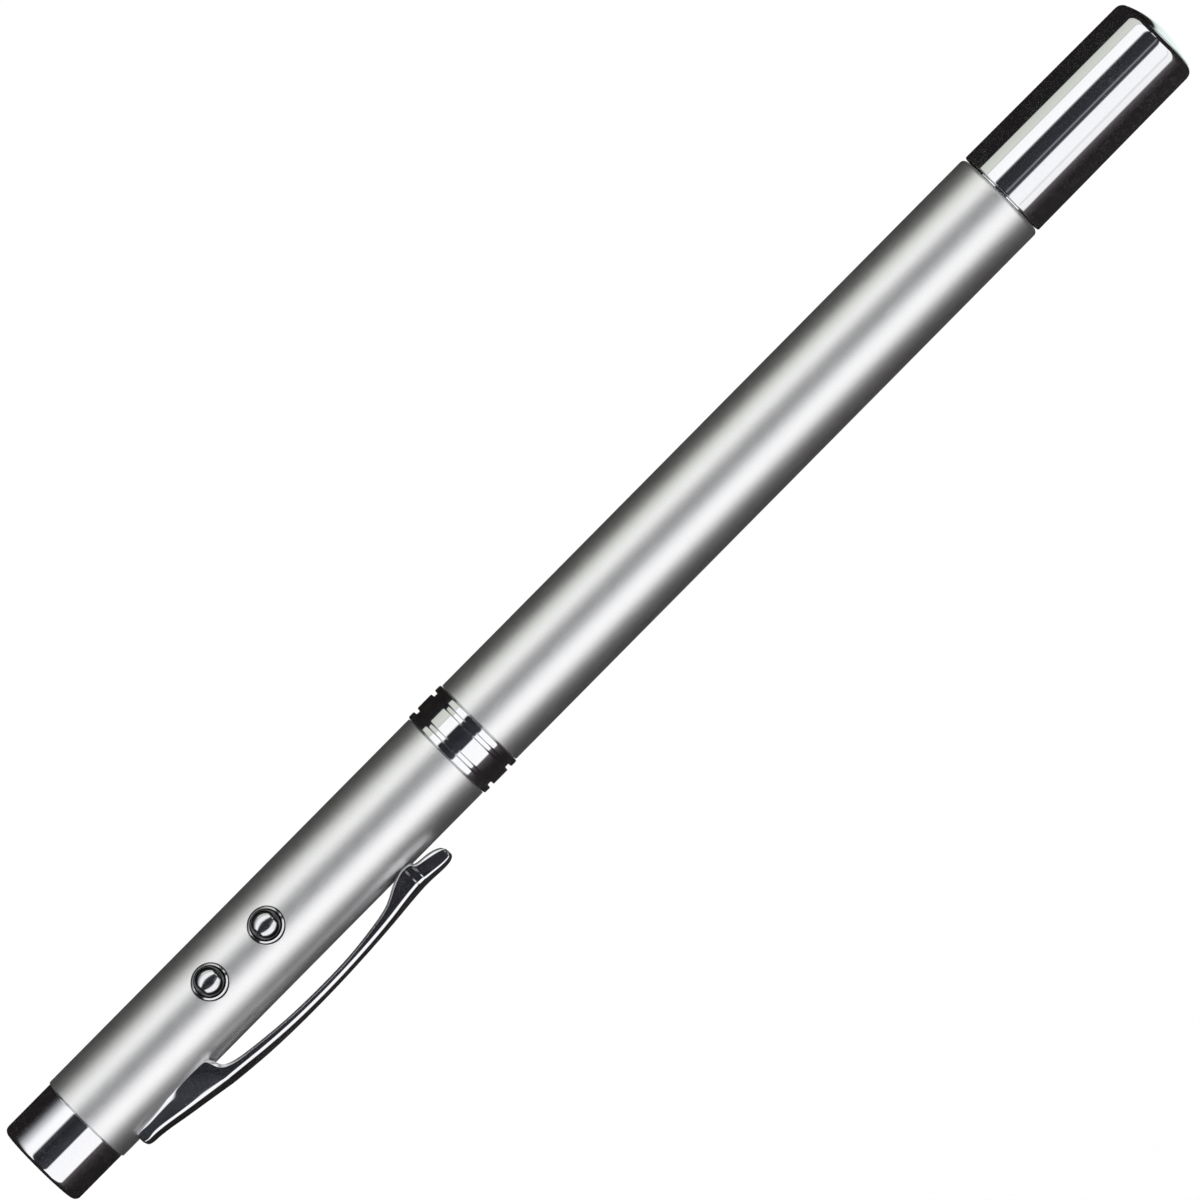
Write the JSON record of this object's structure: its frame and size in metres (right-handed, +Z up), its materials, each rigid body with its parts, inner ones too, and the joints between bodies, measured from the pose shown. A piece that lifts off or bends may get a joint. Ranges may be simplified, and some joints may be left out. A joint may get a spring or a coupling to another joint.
{
  "type": "laser pointer pen",
  "caption": "Slim satin-silver pen with a laser pointer and torch in its nose, chrome ball buttons, a pocket clip, and a capped ballpoint on a telescopic pointer rod.",
  "frame": {"origin": "centre of the flat nose face, on the pen's axis", "axes": "+X along the pen from the nose to the end cap, +Z up as the pen lies on its centre ring and its pocket clip, with the clip on the -Y side and the buttons 28.6 degrees from +Z towards -Y"},
  "size_m": [0.1458, 0.0122, 0.0104],
  "materials": {
    "satin_silver": "satin pearl silver lacquer",
    "chrome": "bright plated",
    "brass": "turned",
    "spring_steel": "nickel plated",
    "black_plastic": "moulded",
    "white_plastic": "moulded",
    "board": "lacquered laminate",
    "lens": "clear"
  },
  "bodies": {
    "front_section": {"nose_cap": "chrome", "module_holder": "black_plastic", "laser_housing": "brass", "lens_ring": "brass", "laser_lens": "lens", "laser_diode": "brass", "laser_lead_1": "spring_steel", "laser_lead_2": "spring_steel", "torch_lamp": "lens", "torch_lead_1": "spring_steel", "torch_lead_2": "spring_steel", "circuit_board": "board", "laser_switch": "black_plastic", "torch_switch": "black_plastic", "laser_bezel": "chrome", "torch_bezel": "chrome", "resistor_1": "black_plastic", "resistor_2": "black_plastic", "front_barrel": "satin_silver", "clip_anchor": "spring_steel", "insulating_sleeve": "white_plastic", "battery_contact": "brass", "battery_spring": "spring_steel"},
    "laser_button_body": {"laser_button": "chrome", "laser_plunger": "black_plastic"},
    "torch_button_body": {"torch_button": "chrome", "torch_plunger": "black_plastic"},
    "clip_body": {"clip": "chrome"},
    "battery_stack": {"cell_1": "spring_steel", "cell_2": "spring_steel", "cell_3": "spring_steel"},
    "rear_section": {"centre_ring": "chrome", "rear_barrel": "satin_silver", "rod_plug": "black_plastic", "rod_sleeve": "brass", "end_bush": "chrome"},
    "rod_body_1": {"rod_1": "chrome"},
    "rod_body_2": {"rod_2": "chrome"},
    "rod_body_3": {"rod_3": "chrome"},
    "rod_body_4": {"rod_4": "chrome", "nib_cone": "chrome", "refill_tube": "black_plastic", "refill_tip": "brass", "writing_ball": "spring_steel"},
    "cap_body": {"end_cap": "chrome", "cap_liner": "white_plastic"}
  },
  "joints": [
    {"name": "laser_press", "type": "slide", "parent": "front_section", "child": "laser_button_body", "axis": [0, 0.4788, -0.8779], "range_m": [0, 0.0004], "stiffness_N_per_m": 1500},
    {"name": "torch_press", "type": "slide", "parent": "front_section", "child": "torch_button_body", "axis": [0, 0.4788, -0.8779], "range_m": [0, 0.0004], "stiffness_N_per_m": 1500},
    {"name": "clip_flex", "type": "hinge", "parent": "front_section", "child": "clip_body", "pos_m": [0.0086, -0.00421, -0.0023], "axis": [0, 0.4788, -0.8779], "range_deg": [0, 4], "stiffness_Nm_per_rad": 1},
    {"name": "section_advance", "type": "slide", "parent": "front_section", "child": "battery_stack", "axis": [1, 0, 0], "range_m": [0, 0.0034], "deforming": ["battery_spring"]},
    {"name": "section_turn", "type": "hinge", "parent": "battery_stack", "child": "rear_section", "pos_m": [0.0527, 0, 0], "axis": [1, 0, 0], "range_deg": [0, 1440]},
    {"name": "rod_slide_1", "type": "slide", "parent": "rear_section", "child": "rod_body_1", "axis": [1, 0, 0], "range_m": [0, 0.05]},
    {"name": "rod_slide_2", "type": "slide", "parent": "rod_body_1", "child": "rod_body_2", "axis": [1, 0, 0], "range_m": [0, 0.05]},
    {"name": "rod_slide_3", "type": "slide", "parent": "rod_body_2", "child": "rod_body_3", "axis": [1, 0, 0], "range_m": [0, 0.05]},
    {"name": "rod_slide_4", "type": "slide", "parent": "rod_body_3", "child": "rod_body_4", "axis": [1, 0, 0], "range_m": [0, 0.05]},
    {"name": "cap_pull", "type": "slide", "parent": "rod_body_4", "child": "cap_body", "axis": [1, 0, 0], "range_m": [0, 0.032]}
  ],
  "couplings": [
    {"joint": "section_advance", "follows": "section_turn", "m_per_rad": 0.00011937}
  ]
}
